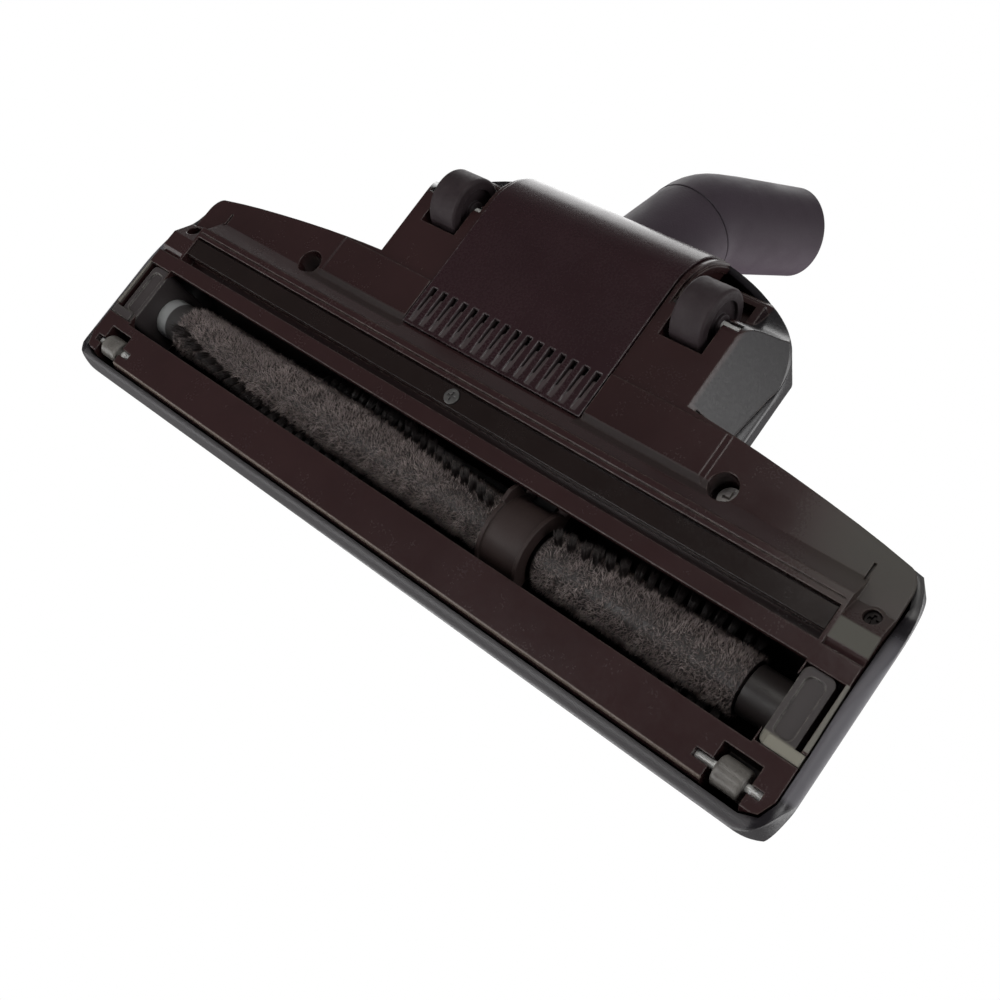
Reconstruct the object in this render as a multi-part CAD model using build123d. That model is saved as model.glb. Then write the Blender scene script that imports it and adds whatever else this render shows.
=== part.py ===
from build123d import *
import math
import os

os.makedirs("parts", exist_ok=True)

# Air-driven vacuum floor head, standing on its rollers and wheels.
# X runs along the width, the front edge faces -Y, Z is up, the floor is Z = 0.
# The working frame has Y = 0 at the sole strip's screw; all pieces move by -Y_CENTRE at the end,
# so that the origin lies under the middle of the whole object.

# ---------------------------------------------------------------- driving dimensions, mm
Y_CENTRE = 53.727         # middle of the whole length in the working frame

Z_SOLE = 1.0              # flat of the sole over the floor
Z_PLATE = 7.5             # underside of the wings and the pan
PLATE_T = 2.4             # moulded wall
HALF_W = 162.5            # half width over the skirt
CORNER_X = 162.0          # half width at the front corners
FRONT_Y = -60.9           # front of the skirt
BLOCK_X = 157.2           # half width of the sole block behind
BLOCK_XF = 158.4          # and in front
BLOCK_Y0 = -56.0          # front of the sole block
BLOCK_Y1 = 9.6            # rear step of the sole block
SKIRT_GAP = 0.6           # reveal between sole block and skirt
PARTING_GAP = 0.35        # reveal between lower and upper housing

WIN_X = 144.6             # brush window
WIN_Y0 = -39.1
WIN_Y1 = -12.2

BRUSH_Y = -25.65          # brush axis
BRUSH_Z = 17.5
TIP_R = 16.7              # bristle tips
CORE_R = 9.0
TUNNEL_R = 18.6           # inside of the brush tunnel
BELT_X0 = -50.5           # belt
BELT_X1 = -42.5
BELT_T = 1.4
BRUSH_PULLEY_R = 8.2
TURB_PULLEY_R = 5.2
BELT_GAP = 0.3

TURB_Y = 32.0             # turbine axis
TURB_Z = 38.0
TURB_R = 17.4
SHROUD_R = 19.0
BLADES = 12

WHEEL_Y = 67.5            # rear wheels
WHEEL_R = 12.2
WHEEL_X0 = 48.2
WHEEL_X1 = 61.0
REAR_PIN_R = 1.5

ROLL_Y = -49.7            # front rollers
ROLL_R = 4.6
ROLL_X0 = 140.2
ROLL_X1 = 149.4
FRONT_PIN_R = 1.3
RUN_FIT = 0.06            # radial running clearance

PIVOT_Y = 74.0            # neck tilt axis
PIVOT_Z = 41.8
BARREL_R = 20.0
BARREL_X = 26.0
TRUNNION_R = 6.0
DOME_R = 23.5             # dome round the barrel
NECK_DEG = 25.0           # neck above the horizontal at rest
NECK_TILT = 55.0          # further tilt up
NECK_R = 18.85            # neck tube outside
SLEEVE_R = 15.5           # elbow sleeve inside the neck
NECK_END = 47.0           # neck tube end, from the pivot
BEND_AT = 54.0            # bend corner, from the pivot
BEND_R = 22.0
ELBOW_LEG = 52.0          # bend corner to mouth
ELBOW_DIR = (-0.315, 0.595, 0.739)
ELBOW_R0 = 19.0           # outside at the bend
ELBOW_R1 = 18.0           # outside at the mouth
SOCKET_R = 16.0           # wand socket
SOCKET_LEN = 34.0
DUCT_R = 13.4

VENTS = 16
VENT_PITCH = 5.0
VENT_W = 2.5
VENT_Y0 = 18.2
VENT_Y1 = 33.0
COVER_X = 40.8            # belly plate under the turbine
COVER_Y0 = 16.9
COVER_Z1 = 26.2           # its rear end, at the parting line
COVER_PROUD = 0.9         # how far it stands out of the pan
COVER_BED = 1.5           # how deep its seat is

SCREW_X = 94.6            # screw recesses in the wings
SCREW_Y = 19.6
END_SCREW_X = 152.0
END_SCREW_Y = 7.0


# ---------------------------------------------------------------- helpers
def bx(x0, x1, y0, y1, z0, z1):
    return Pos((x0 + x1) / 2, (y0 + y1) / 2, (z0 + z1) / 2) * Box(abs(x1 - x0), abs(y1 - y0), abs(z1 - z0))


def both(x0, x1, y0, y1, z0, z1):
    return bx(x0, x1, y0, y1, z0, z1) + bx(-x1, -x0, y0, y1, z0, z1)


def cx(x0, x1, y, z, r):
    return Pos((x0 + x1) / 2, y, z) * Rot(0, 90, 0) * Cylinder(r, abs(x1 - x0))


def cz(x, y, z0, z1, r):
    return Pos(x, y, (z0 + z1) / 2) * Cylinder(r, abs(z1 - z0))


def mirror_x(shape):
    return mirror(shape, about=Plane.YZ)


def prism(edges, vec):
    return extrude(make_face(edges), amount=Vector(*vec).length, dir=vec)


def poly_yz(pts, x0, x1):
    return prism(Polyline([(x0, y, z) for y, z in pts], close=True), (x1 - x0, 0, 0))


def poly_xy(pts, z0, z1):
    return prism(Polyline([(x, y, z0) for x, y in pts], close=True), (0, 0, z1 - z0))


def poly_xz(pts, y0, y1):
    return prism(Polyline([(x, y0, z) for x, z in pts], close=True), (0, y1 - y0, 0))


def inset_pts(pts, t):
    """Points moved t to the right-hand side of the walking direction."""
    out = []
    for i, p in enumerate(pts):
        a = pts[max(i - 1, 0)]
        b = pts[min(i + 1, len(pts) - 1)]
        dx, dy = b[0] - a[0], b[1] - a[1]
        n = math.hypot(dx, dy)
        out.append((p[0] + t * dy / n, p[1] - t * dx / n))
    return out


# ---------------------------------------------------------------- outer forms, with inset t for the inside
def head_form(t):
    """Wide front part: side profile, plan and end profile intersected."""
    top = [(FRONT_Y, 17.0), (-57.9, 27.5), (-49.0, 36.6), (-26.0, 42.4), (0.0, 44.0), (20.0, 42.0), (31.5, 35.0), (37.0, 22.0)]
    top = inset_pts(top, t) if t else top
    y0, y1 = FRONT_Y + t, 38.2 - t
    top[0] = (y0, 17.0)
    top[-1] = (y1, 20.0)
    # the skirt's lip is rounded under
    yl = y0 if t else y0 + 4.2
    e = Line((-200, yl, -2), (-200, yl, 1.0))
    if t:
        e += Line((-200, y0, 1.0), (-200, y0, 9.0))
    else:
        e += Spline([(-200, yl, 1.0), (-200, y0 + 2.3, 2.0), (-200, y0 + 0.7, 4.6), (-200, y0, 9.0)], tangents=[(0, -1, 0.1), (0, 0, 1)])
    e += Line((-200, y0, 9.0), (-200, *top[0])) + Spline([(-200, y, z) for y, z in top]) + Line((-200, *top[-1]), (-200, y1, -2)) + Line((-200, y1, -2), (-200, yl, -2))
    side = prism(e, (400, 0, 0))
    x = HALF_W - t
    xo = CORNER_X - t
    rear = [(156.3 - t, 25.0 - t), (140.0, 28.1 - t), (124.0, 30.8 - t), (95.0, 34.7 - t), (60.0, 37.4 - t), (0.0, 38.0 - t)]
    y = FRONT_Y + t
    half = (
        Line((0, y, -3), (xo - 12.4, y, -3))
        + Spline([(xo - 12.4, y, -3), (xo - 7.0, y + 1.5, -3), (xo - 3.5, y + 4.7, -3), (xo - 0.9, y + 10.6, -3), (x, y + 24.0, -3)], tangents=[(1, 0, 0), (0, 1, 0)])
        + Line((x, y + 24.0, -3), (x, -6, -3))
        + Spline([(x, -6, -3), (161.2 - t, 12, -3), (156.3 - t, 25.0 - t, -3)], tangents=[(0, 1, 0), (-0.62, 0.78, 0)])
        + Spline([(p[0], p[1], -3) for p in rear])
        + Line((0, 38.0 - t, -3), (0, y, -3))
    )
    plan = prism(half, (0, 0, 80))
    plan = plan + mirror_x(plan)
    zt = 48.0 - t
    ends = [(HALF_W, 7.2), (HALF_W - 0.9, 11.4), (160.2, 16.0), (158.3, 21.5), (155.4, 28.5), (148.1, 35.0), (134.6, 40.2), (100.6, 45.0), (0.0, 48.0)]
    ends = inset_pts(ends, -t) if t else ends
    ends[0] = (x, 7.2)
    ends[-1] = (0.0, zt)
    xl = x if t else x - 4.5
    he = Line((0, -120, -3), (xl, -120, -3)) + Line((xl, -120, -3), (xl, -120, 1.0))
    if t:
        he += Line((x, -120, 1.0), (x, -120, 7.2))
    else:
        he += Spline([(xl, -120, 1.0), (x - 2.2, -120, 1.9), (x - 0.7, -120, 4.0), (x, -120, 7.2)], tangents=[(1, 0, 0.1), (0, 0, 1)])
    he += (
        Spline([(a, -120, b) for a, b in ends])
        + Line((0, -120, zt), (0, -120, -3))
    )
    end = prism(he, (0, 240, 0))
    end = end + mirror_x(end)
    return side & plan & end


def dome_side(t, x0, x1, fade=(1, 1, 1, 1, 1)):
    """Side profile of the central housing, drawn out along X; the inset may fade towards the rear."""
    r = DOME_R - t * fade[-1]
    lo = [(72.0, Z_PLATE), (82.0, 10.6), (90.0, 18.0), (95.3, 28.5), (PIVOT_Y + DOME_R, PIVOT_Z)]
    lo = [inset_pts(lo, -t * f)[i] for i, f in enumerate(fade)]
    lo[0] = (72.0, Z_PLATE + t)
    lo[-1] = (PIVOT_Y + r, PIVOT_Z)
    hi = [(PIVOT_Y, PIVOT_Z + DOME_R), (50.0, 65.4), (25.0, 60.4), (0.0, 52.5), (-24.0, 43.5), (-44.0, 33.0)]
    hi = inset_pts(hi, -t) if t else hi
    hi[0] = (PIVOT_Y, PIVOT_Z + r)
    q = math.sqrt(0.5) * r
    e = (
        Line((x0, hi[-1][0], Z_PLATE + t), (x0, 72.0, Z_PLATE + t))
        + Spline([(x0, y, z) for y, z in lo], tangents=[(0, 1, 0.05), (0, 0, 1)])
        + ThreePointArc((x0, PIVOT_Y + r, PIVOT_Z), (x0, PIVOT_Y + q, PIVOT_Z + q), (x0, PIVOT_Y, PIVOT_Z + r))
        + Spline([(x0, y, z) for y, z in hi], tangents=[(0, -1, 0), (0, -0.88, -0.47)])
        + Line((x0, *hi[-1]), (x0, hi[-1][0], Z_PLATE + t))
    )
    return prism(e, (x1 - x0, 0, 0))


def dome_form(t):
    """Central housing: pan below, dome above, wrapped round the neck barrel."""
    side = dome_side(t, -120, 120)
    x = 84.5 - t
    y1 = PIVOT_Y + DOME_R + 0.7
    rear = [(84.5, 50.0), (83.4, 66.0), (79.6, 75.4), (73.0, 81.8), (64.0, 87.2), (47.0, 93.2), (27.0, 96.9), (0.0, y1)]
    high = [(76.0, 50.0), (74.9, 64.0), (71.4, 72.9), (65.6, 79.3), (57.7, 84.9), (43.0, 91.8), (25.2, 96.3), (0.0, y1)]

    def outline(pts, z):
        """Half plan at height z."""
        pts = inset_pts(pts, -t) if t else list(pts)
        xs = pts[0][0]
        pts[0] = (xs, 50.0)
        pts[-1] = (0.0, y1 - t)
        return make_face(
            Line((0, -60, z), (xs, -60, z))
            + Line((xs, -60, z), (xs, 50.0, z))
            + Spline([(a, b, z) for a, b in pts], tangents=[(0, 1, 0), (-1, 0, 0)])
            + Line((0, y1 - t, z), (0, -60, z))
        )

    plan = extrude(outline(rear, 0.0), amount=26.0, dir=(0, 0, 1)) + loft([outline(rear, 26.0), outline(high, 90.0)])
    plan = plan + mirror_x(plan)
    s = t * 0.75
    top = [(x, 25.0 + 0.2 * t), (x - 1.8, 33.0), (78.2 - t, 47.4), (67.4 - t, 58.4), (45.8 - 0.5 * t, 65.6 - t), (0.0, 68.5 - t)]
    he = (
        Line((0, -70, Z_PLATE + t), (69.6 - s, -70, Z_PLATE + t))
        + Line((69.6 - s, -70, Z_PLATE + t), (x, -70, 25.0 + 0.2 * t))
        + Spline([(a, -70, b) for a, b in top], tangents=[(0, 0, 1), (-1, 0, 0)])
        + Line((0, -70, 68.5 - t), (0, -70, Z_PLATE + t))
    )
    end = prism(he, (0, 200, 0))
    end = end + mirror_x(end)
    return side & plan & end


# parting line between lower and upper housing, in the YZ plane
Z_WING = Z_PLATE + PLATE_T
PART = [(37.8, Z_WING), (38.0, 22.0), (56.0, 24.0), (70.0, 26.6), (130.0, 26.6)]
EDGE = [(-90.0, 1.3), (-24.0, 1.3), (-17.0, 1.7), (-10.0, 2.7), (-4.0, 4.0), (2.4, 5.7), (7.0, 7.6), (10.5, 9.3), (13.0, 10.0), (15.5, Z_WING + PARTING_GAP), (37.4, Z_WING + PARTING_GAP), (37.6, 22.0 + PARTING_GAP)]
EDGE += [(y, z + PARTING_GAP) for y, z in PART[2:]]
above = poly_yz(EDGE + [(130.0, 120.0), (-90.0, 120.0)], -200, 200)
below = poly_yz([(-90.0, Z_WING)] + PART + [(130.0, -10.0), (-90.0, -10.0)], -200, 200)

HEAD = head_form(0)
HEAD_IN = head_form(PLATE_T)
HEAD_CLEAR = head_form(PLATE_T + 0.5)
DOME = dome_form(0)
DOME_IN = dome_form(PLATE_T)
DOME_CLEAR = dome_form(PLATE_T + 0.6)


def flank(t):
    """Space above the pan's flanks, which turn up earlier than the belly does."""
    lo = [(58.0, Z_PLATE - 0.4), (64.8, Z_PLATE), (69.2, 9.9), (71.7, 13.6), (74.0, 18.4), (77.8, 22.6), (85.0, 25.9), (95.0, 30.0)]
    lo = inset_pts(lo, -t) if t else lo
    lo[0] = (58.0, Z_PLATE - 0.4 + t)
    lo[-1] = (95.0 - t, 30.0)
    e = (
        Spline([(-120, y, z) for y, z in lo], tangents=[(0, 1, 0), (0, 0.92, 0.39)])
        + Line((-120, *lo[-1]), (-120, 130, 30.0))
        + Line((-120, 130, 30.0), (-120, 130, 120))
        + Line((-120, 130, 120), (-120, -80, 120))
        + Line((-120, -80, 120), (-120, -80, lo[0][1]))
        + Line((-120, -80, lo[0][1]), (-120, *lo[0]))
    )
    return prism(e, (240, 0, 0))


FLANK_X = 43.0            # where belly and flanks meet
PAN = DOME & (flank(0) + bx(-FLANK_X, FLANK_X, -80, 130, -5, 120))
PAN_IN = DOME_IN & (flank(PLATE_T) + bx(-FLANK_X + PLATE_T, FLANK_X - PLATE_T, -80, 130, -5, 120))


# plan of the sole block, a little wider in front
def block_plan(g, z0, z1, y1=BLOCK_Y1):
    x, xf = BLOCK_X + g, BLOCK_XF + g
    right = [(xf - 7.2, BLOCK_Y0 - g), (xf - 2.1, BLOCK_Y0 - g + 2.1), (xf, BLOCK_Y0 + 7.2), (xf, -34.0), (x + 0.4, -3.0), (x, y1 + g)]
    return poly_xy(right + [(-a, b) for a, b in reversed(right)], z0, z1)


# ---------------------------------------------------------------- lower housing
block = block_plan(0, Z_SOLE, 12.0)
# bevel along the front of the sole
block -= poly_yz([(BLOCK_Y0 - 1, Z_SOLE - 1), (BLOCK_Y0 + 2.4, Z_SOLE - 1), (BLOCK_Y0 + 1.4, Z_SOLE), (BLOCK_Y0, Z_SOLE + 2.6), (BLOCK_Y0 - 1, Z_SOLE + 2.6)], -170, 170)
# hollow behind the front bar, and behind the side walls
block -= bx(-136.5, 136.5, BLOCK_Y0 + 2.4, BRUSH_Y - 12.0, Z_SOLE + 3.0, 13.0)
block -= both(BLOCK_X - 1.9, BLOCK_X + 4, -12.0, 12.0, 9.9, 13.0)
block -= bx(-155.0, 155.0, -8.5, 12.0, 9.9, 13.0)

# wings
wing_half = (
    Line((0, 7.2, Z_PLATE), (BLOCK_X, 7.2, Z_PLATE))
    + Line((BLOCK_X, 7.2, Z_PLATE), (156.8, 18.0, Z_PLATE))
    + Spline([(156.8, 18.0, Z_PLATE), (155.8, 22.4, Z_PLATE), (152.0, 25.4, Z_PLATE)], tangents=[(0, 1, 0), (-1, 0.15, 0)])
    + Spline([(152.0, 25.4, Z_PLATE), (140.0, 27.9, Z_PLATE), (124.0, 30.6, Z_PLATE), (95.0, 34.5, Z_PLATE), (60.0, 37.2, Z_PLATE), (0, 37.8, Z_PLATE)])
    + Line((0, 37.8, Z_PLATE), (0, 7.2, Z_PLATE))
)
wing = prism(wing_half, (0, 0, PLATE_T))
wing = wing + mirror_x(wing)

pan = (PAN & below) - PAN_IN
pan = pan & bx(-100, 100, 9.0, 130, 0, 60)
shell = block + wing + pan
# slope between the sole's rear ridge and the wings
shell += poly_yz([(9.9, 2.8), (16.6, Z_PLATE), (17.0, Z_PLATE + 1.2), (9.0, Z_PLATE + 1.2), (9.0, 4.6), (9.9, 4.6)], -145.2, 145.2)

# tunnel over the brush
tunnel = cx(-147.0, 147.0, BRUSH_Y, BRUSH_Z, TUNNEL_R + 1.4) & bx(-148, 148, -60, 10, 3.0, 60)
shell += tunnel & HEAD_CLEAR
# end walls that carry the bearing blocks
shell += both(155.2, BLOCK_X - 0.8, -43.0, -8.0, 9.0, 18.0) + both(145.0, 155.4, -43.0, -38.2, 3.0, 18.0) + both(145.0, 155.4, -13.0, -8.0, 3.0, 18.0)

# wheel housings, roller housings
wheel_box = both(43.0, 69.6, 51.8, 82.8, Z_PLATE, 27.6) & PAN & below
wheel_box += both(43.0, 66.0, 51.8, 82.8, 20.0, 27.6) & DOME_CLEAR
shell += wheel_box
shell += both(136.5, 155.2, BLOCK_Y0 + 1.6, -41.6, 2.0, 14.2)

# ears for the neck trunnions
shell += (both(28.0, 32.0, PIVOT_Y - 10.0, PIVOT_Y + 10.0, 9.0, PIVOT_Z) + cx(28.0, 32.0, PIVOT_Y, PIVOT_Z, 10.0) + cx(-32.0, -28.0, PIVOT_Y, PIVOT_Z, 10.0)) & DOME

# bosses for the wing screws and the end screws
for sx in (-1, 1):
    shell += cz(sx * SCREW_X, SCREW_Y, Z_PLATE, 22.0, 7.0)
    shell += cz(sx * END_SCREW_X, END_SCREW_Y, 5.0, 16.0, 3.6)
# bed of the belly plate
shell += (dome_side(COVER_BED, -43.8, 43.8) - dome_side(COVER_BED + 2.2, -60, 60)) & bx(-60, 60, 14.0, 99.0, 0, COVER_Z1 + 0.2)
# raised panels beside the turbine cover
panel = poly_yz([(16.4, Z_PLATE + 0.3), (18.9, Z_PLATE - 0.9), (34.6, Z_PLATE - 0.9), (34.9, Z_PLATE + 1.0), (16.4, Z_PLATE + 1.0)], -95, 95)
panel &= poly_xz([(41.4, Z_PLATE + 1), (41.4, Z_PLATE - 0.9), (86.2, Z_PLATE - 0.9), (88.4, Z_PLATE + 0.2), (88.4, Z_PLATE + 1)], 0, 60)
shell += panel + mirror_x(panel)

# cut: brush space, window, bearing seats
shell -= cx(-155.2, 155.2, BRUSH_Y, BRUSH_Z, TUNNEL_R)
shell -= bx(-WIN_X, WIN_X, WIN_Y0, WIN_Y1, -1, 5.0)
shell -= both(144.9, 156.8, -38.2, -13.0, -1, 32.0)
shell -= both(156.0, 162.0, -38.2, -34.3, -1, 4.4)
# cut: belt way and air way through the tunnel
shell -= bx(BELT_X0 - 1.6, BELT_X1 + 1.6, BRUSH_Y - 2, 4.0, 10.5, 42.0)
shell -= bx(-24.0, 24.0, BRUSH_Y + 6, 0.0, 16.5, 31.0)
# cut: groove, strip seat, slit
shell -= bx(-144.2, 144.2, -6.3, -3.0, -1, 6.8)
shell -= bx(-144.2, 144.2, -3.1, 4.5, -1, 3.4)
shell -= bx(-144.2, 144.2, 4.4, 5.2, -1, 4.2)
shell -= bx(-144.2, 144.2, 6.9, 7.4, -1, Z_SOLE + 0.45)
shell -= cz(0, 0.75, 0, 9.0, 1.3)
# cut: end recesses and screw holes
for sx in (-1, 1):
    a, b = (145.4, 165.0) if sx > 0 else (-165.0, -145.4)
    shell -= poly_yz([(2.5, -1.0), (2.5, Z_SOLE), (12.0, Z_PLATE), (12.0, -1.0)], a, b)
    shell -= poly_yz([(-4.0, Z_SOLE - 0.2), (-4.0, Z_SOLE), (-6.5, Z_SOLE + 1.7), (-6.8, Z_SOLE - 0.2)], a, b)
shell -= both(143.6, 144.5, 13.4, 21.4, 7.0, 8.8)
for sx in (-1, 1):
    shell -= cz(sx * END_SCREW_X, END_SCREW_Y, 0, 9.0, 2.6)
    shell -= cz(sx * END_SCREW_X, END_SCREW_Y, 0, 17.0, 1.3)
    shell -= cz(sx * SCREW_X, SCREW_Y, 0, 19.6, 4.9)
    shell -= cz(sx * SCREW_X, SCREW_Y, 0, 23.0, 2.1)
# cut: seat of the belly plate and the air opening above it
shell -= (dome_side(-4.0, -COVER_X - 0.3, COVER_X + 0.3) - dome_side(COVER_BED, -60, 60)) & bx(-60, 60, COVER_Y0 - 0.3, 110.0, 0, 28.0)
shell -= bx(-38.8, 38.8, 18.0, 60.0, 5.0, 14.0)
# cut: wheel pockets and pin slots
shell -= both(46.2, 63.2, WHEEL_Y - 13.6, WHEEL_Y + 13.6, -1, 25.8)
shell -= both(43.4, 68.8, WHEEL_Y - REAR_PIN_R, WHEEL_Y + REAR_PIN_R, -1, WHEEL_R)
shell -= cx(43.4, 68.8, WHEEL_Y, WHEEL_R, REAR_PIN_R) + cx(-68.8, -43.4, WHEEL_Y, WHEEL_R, REAR_PIN_R)
# cut: roller pockets and pin slots
shell -= both(138.6, 151.0, ROLL_Y - 6.8, ROLL_Y + 6.8, -1, 13.0)
shell -= both(133.2, 154.8, ROLL_Y - FRONT_PIN_R, ROLL_Y + FRONT_PIN_R, -1, ROLL_R)
shell -= cx(133.2, 154.8, ROLL_Y, ROLL_R, FRONT_PIN_R) + cx(-154.8, -133.2, ROLL_Y, ROLL_R, FRONT_PIN_R)
# cut: trunnion holes
shell -= cx(27.0, 33.0, PIVOT_Y, PIVOT_Z, TRUNNION_R + RUN_FIT) + cx(-33.0, -27.0, PIVOT_Y, PIVOT_Z, TRUNNION_R + RUN_FIT)
lower_housing = shell

# ---------------------------------------------------------------- upper housing
upper = (HEAD + DOME) & above
upper -= HEAD_IN & bx(-200, 200, -80, 60, 12.0, 90)
upper -= HEAD_IN & bx(-200, 200, BLOCK_Y1, 60, 2.0, 90)
upper -= DOME_IN
upper -= block_plan(SKIRT_GAP, -1, 12.5)
upper -= both(140.0, BLOCK_X + SKIRT_GAP, 0.0, 14.0, -1, 12.6)
# the skirt is thicker where it rises past the end of the sole block
upper += both(BLOCK_X + SKIRT_GAP, 161.4, 8.4, 18.0, 5.0, 14.0) & HEAD & above
# slot for the neck's tilt
c0, s0 = math.cos(math.radians(NECK_DEG)), math.sin(math.radians(NECK_DEG))
c1, s1 = math.cos(math.radians(NECK_DEG + NECK_TILT)), math.sin(math.radians(NECK_DEG + NECK_TILT))
w = NECK_R + 0.9
slot = [
    (PIVOT_Y + w * s0, PIVOT_Z - w * c0), (PIVOT_Y + w * s0 + 70 * c0, PIVOT_Z - w * c0 + 70 * s0),
    (PIVOT_Y + 80 * math.cos(math.radians(52)), PIVOT_Z + 80 * math.sin(math.radians(52))),
    (PIVOT_Y - w * s1 + 70 * c1, PIVOT_Z + w * c1 + 70 * s1), (PIVOT_Y - w * s1, PIVOT_Z + w * c1),
]
upper -= poly_yz(slot, -w, w)
for sx in (-1, 1):
    boss = cz(sx * SCREW_X, SCREW_Y, 22.3, 44.0, 4.6) & HEAD
    upper += boss
    upper -= cz(sx * SCREW_X, SCREW_Y, 20.0, 35.0, 1.9)
upper_housing = upper

# ---------------------------------------------------------------- turbine cover
cover = dome_side(-COVER_PROUD, -COVER_X, COVER_X, (1, 1, 0.8, 0.15, 0)) - dome_side(COVER_BED, -60, 60)
cover = cover & bx(-60, 60, COVER_Y0, 110.0, 0, COVER_Z1)
zb = Z_PLATE - COVER_PROUD


def louvre(x, y, depth):
    """Section of a slot: its floor slopes from one side to the other."""
    a, b = x - VENT_W / 2, x + VENT_W / 2
    return make_face(Polyline([(a, y, zb - 1.0), (b, y, zb - 1.0), (b, y, zb + depth), (a, y, zb + 0.05)], close=True))


# slots with sloping floors, open along their deep side and wide open at the rear end
for i in range(VENTS):
    xv = (i - (VENTS - 1) / 2) * VENT_PITCH
    cover -= loft([louvre(xv, VENT_Y0, 0.35), louvre(xv, VENT_Y1, 2.0)])
    cover -= bx(xv + VENT_W / 2 - 0.6, xv + VENT_W / 2, VENT_Y0 + 4.6, VENT_Y1, 0, 20)
    cover -= bx(xv - VENT_W / 2, xv + VENT_W / 2, VENT_Y1 - 3.2, VENT_Y1, 0, 20)
turbine_cover = cover

# ---------------------------------------------------------------- sole strip and small screws
strip = bx(-143.9, 143.9, -2.9, 4.2, 1.5, 3.4)
strip -= cz(0, 0.75, 0, 2.2, 2.9)
strip -= cz(0, 0.75, 0, 5, 1.4)
sole_strip = strip


def screw(x, y, z_head, head_r, head_h, r, length):
    s = cz(x, y, z_head, z_head + head_h, head_r) + cz(x, y, z_head + head_h - 0.05, z_head + head_h + length, r)
    k = head_r * 0.62
    s -= bx(x - k, x + k, y - 0.45, y + 0.45, z_head - 1, z_head + head_h * 0.55)
    s -= bx(x - 0.45, x + 0.45, y - k, y + k, z_head - 1, z_head + head_h * 0.55)
    return s


strip_screw = screw(0, 0.75, 1.0, 2.8, 1.2, 1.3, 6.2)
housing_screws = [screw(sx * SCREW_X, SCREW_Y, 17.2, 4.0, 2.4, 1.9, 14.0) for sx in (-1, 1)]
end_screws = [screw(sx * END_SCREW_X, END_SCREW_Y, 7.2, 2.4, 1.8, 1.3, 6.6) for sx in (-1, 1)]

# ---------------------------------------------------------------- bearing blocks and bushes
blk = bx(145.1, 154.8, -38.0, -13.2, 2.2, 25.6)
blk = fillet(blk.edges().filter_by(Axis.Z), 2.4)
blk -= poly_xz([(156.0, 16.0), (155.1, 16.0), (151.2, 26.5), (156.0, 26.5)], -60, 0)
blk = blk + bx(147.0, 158.2, -38.0, -34.5, 1.3, 4.2)
blk -= cx(144.0, 156.0, BRUSH_Y, BRUSH_Z, 6.0)
dish = fillet(bx(147.0, 153.0, -33.9, -15.6, 0, 3.0).edges().filter_by(Axis.Z), 2.0)
blk -= dish
bearing_block_left = blk
bearing_block_right = mirror_x(blk)

bush = cx(141.2, 153.4, BRUSH_Y, BRUSH_Z, 6.0) + cx(132.4, 144.9, BRUSH_Y, BRUSH_Z, 8.2)
bush -= cx(130.0, 160.0, BRUSH_Y, BRUSH_Z, 3.0 + RUN_FIT)
brush_bush_left = bush
brush_bush_right = mirror_x(bush)

# ---------------------------------------------------------------- belt guard under the brush pulley
g = cx(-55.0, -38.0, BRUSH_Y, BRUSH_Z, 14.4) - cx(-56.0, -37.0, BRUSH_Y, BRUSH_Z, 12.4)
g &= bx(-60, -30, -60, 10, 0, BRUSH_Z - 2.0)
cheek = cx(-55.0, -53.6, BRUSH_Y, BRUSH_Z, 15.1) + cx(-39.4, -38.0, BRUSH_Y, BRUSH_Z, 15.1)
cheek += cx(-39.4, -38.0, BRUSH_Y, BRUSH_Z, TUNNEL_R - 0.1) & bx(-60, -30, BRUSH_Y + 6, WIN_Y1 - 0.2, 0, 60)
cheek &= bx(-60, -30, WIN_Y0 + 0.2, WIN_Y1 - 0.2, 2.2, BRUSH_Z - 2.0)
tabs = bx(-55.0, -38.0, BRUSH_Y - 19, BRUSH_Y - 13, 12.6, BRUSH_Z - 2.0) + bx(-55.0, -38.0, BRUSH_Y + 13, BRUSH_Y + 19, 12.6, BRUSH_Z - 2.0)
g = g + cheek + (tabs & cx(-60, -30, BRUSH_Y, BRUSH_Z, TUNNEL_R - 0.1))
g -= cx(-60, -30, BRUSH_Y, BRUSH_Z, CORE_R + 0.9)
# slot for the belt's lower run
g -= bx(BELT_X0 - 1.0, BELT_X1 + 1.0, BRUSH_Y + 8.0, 0.0, 9.0, 16.0)
belt_guard = g

# ---------------------------------------------------------------- brush
brush_shaft = cx(-152.8, 152.8, BRUSH_Y, BRUSH_Z, 3.0)
core_long = cx(-37.0, 131.6, BRUSH_Y, BRUSH_Z, CORE_R) - cx(-40, 140, BRUSH_Y, BRUSH_Z, 3.0)
core_short = cx(-131.6, -56.0, BRUSH_Y, BRUSH_Z, CORE_R) - cx(-140, -50, BRUSH_Y, BRUSH_Z, 3.0)
brush_core_long = core_long
brush_core_short = core_short
pul = cx(-56.0, -37.0, BRUSH_Y, BRUSH_Z, 6.0) + cx(BELT_X0 - 0.6, BELT_X1 + 0.6, BRUSH_Y, BRUSH_Z, BRUSH_PULLEY_R)
pul += cx(BELT_X0 - 1.8, BELT_X0 - 0.6, BRUSH_Y, BRUSH_Z, BRUSH_PULLEY_R + 1.4) + cx(BELT_X1 + 0.6, BELT_X1 + 1.8, BRUSH_Y, BRUSH_Z, BRUSH_PULLEY_R + 1.4)
pul -= cx(-60, -30, BRUSH_Y, BRUSH_Z, 3.0)
brush_pulley = pul


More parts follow.
